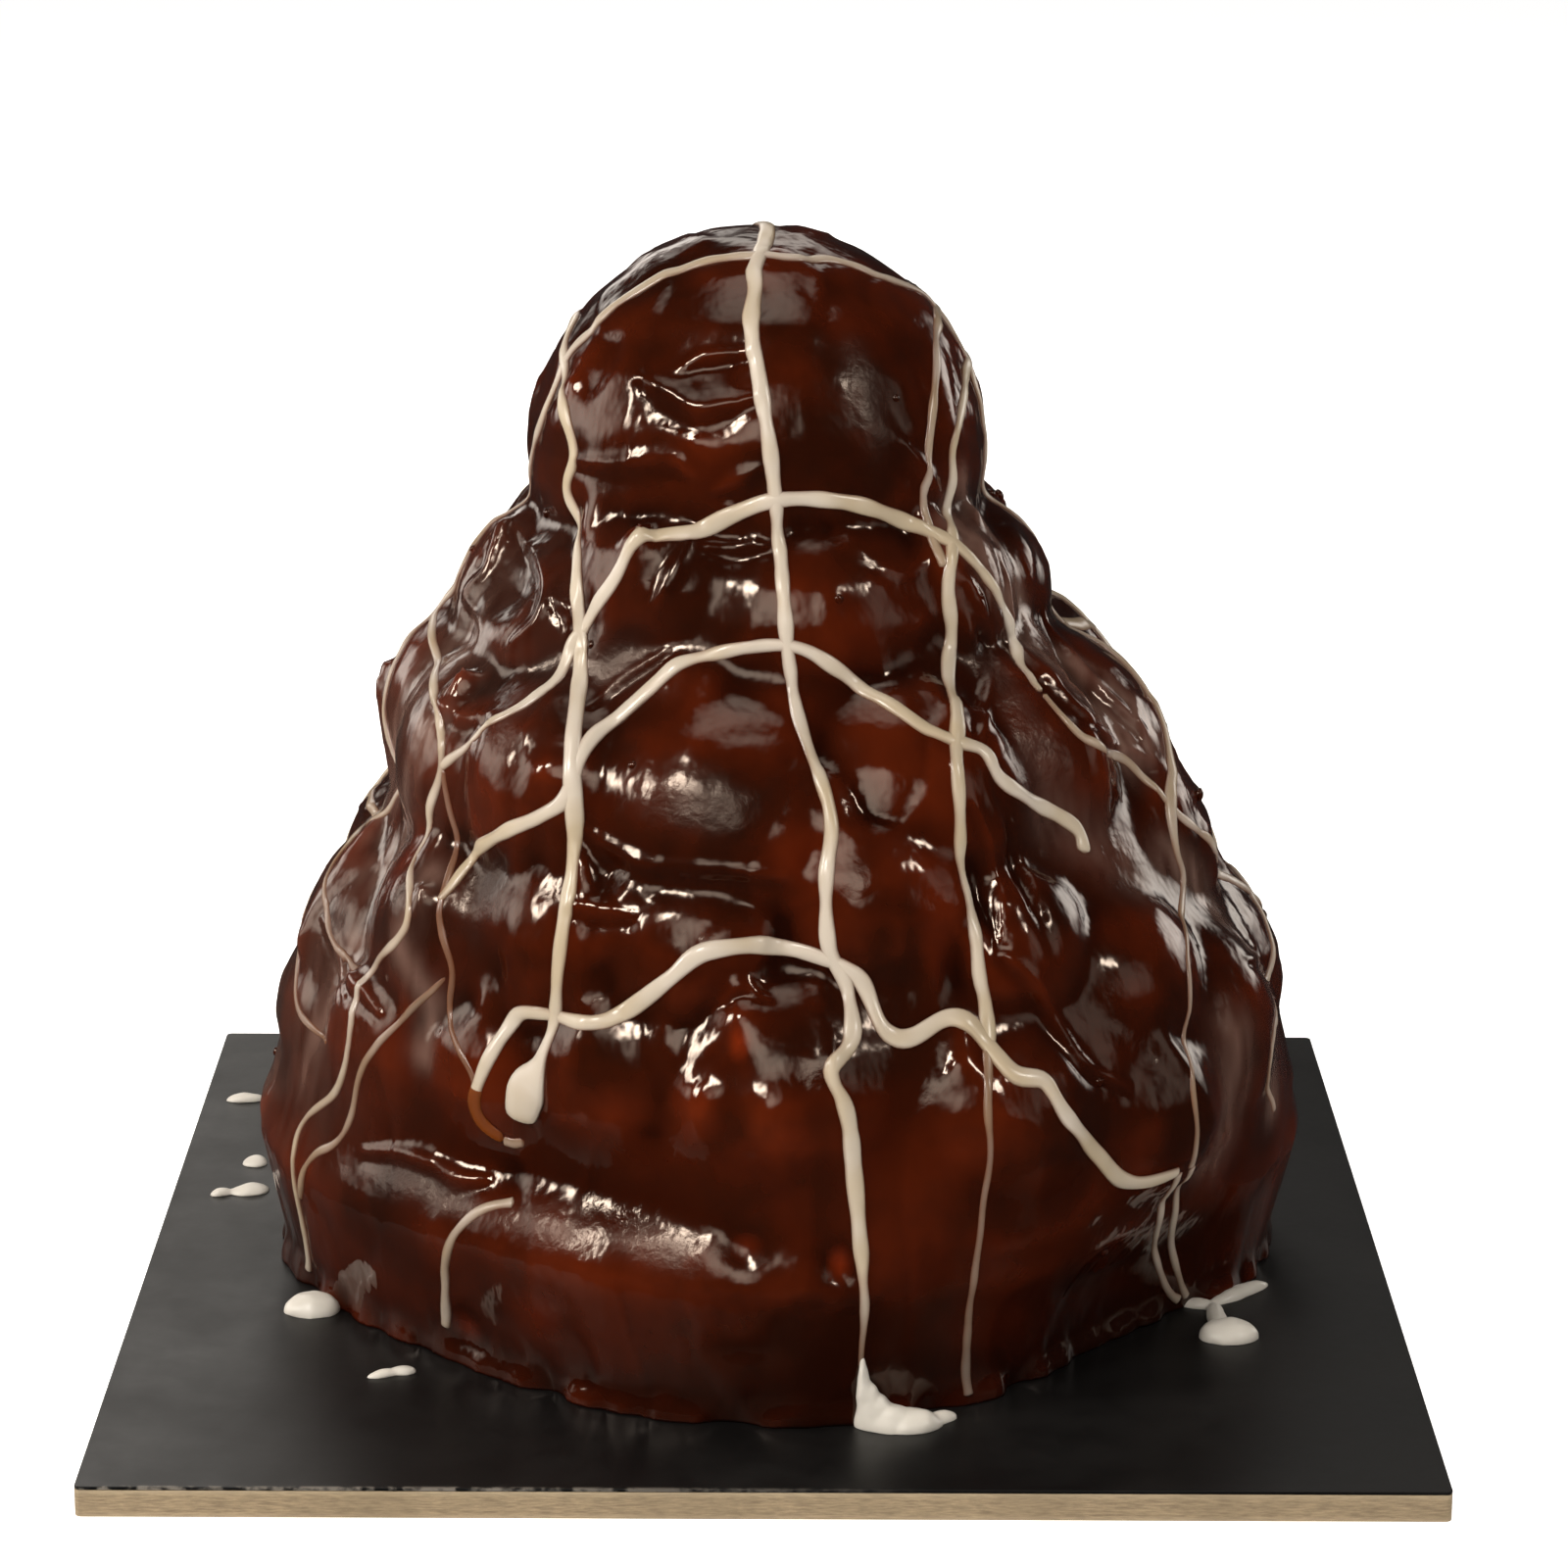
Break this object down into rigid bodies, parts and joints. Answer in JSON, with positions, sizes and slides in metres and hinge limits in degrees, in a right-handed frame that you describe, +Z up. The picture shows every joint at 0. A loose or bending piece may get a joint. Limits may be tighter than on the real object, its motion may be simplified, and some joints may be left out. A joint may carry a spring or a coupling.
{
  "type": "croquembouche",
  "caption": "Cone-shaped heap of choux puffs on a low sponge under one dark chocolate glaze, with white chocolate set round its foot, on a square black cake board.",
  "frame": {"origin": "middle of the board's underside", "axes": "+Z up through the heap, -Y towards the front of the cake, +X to the right seen from the front"},
  "size_m": [0.25, 0.25, 0.2155],
  "materials": {
    "fibreboard": "sawn fibreboard edge, matt",
    "black_facing": "thin black laminate, satin",
    "dark_glaze": "set dark chocolate glaze over pastry, wet gloss",
    "white_chocolate": "set white chocolate, soft gloss"
  },
  "bodies": {
    "root": {"board_core": "fibreboard", "board_facing": "black_facing", "glazed_heap": "dark_glaze", "pool_front": "white_chocolate", "drop_left": "white_chocolate", "drop_right": "white_chocolate", "splash_left_high": "white_chocolate", "splash_left_mid": "white_chocolate", "splash_left_low": "white_chocolate", "splash_front_left": "white_chocolate"}
  },
  "joints": []
}
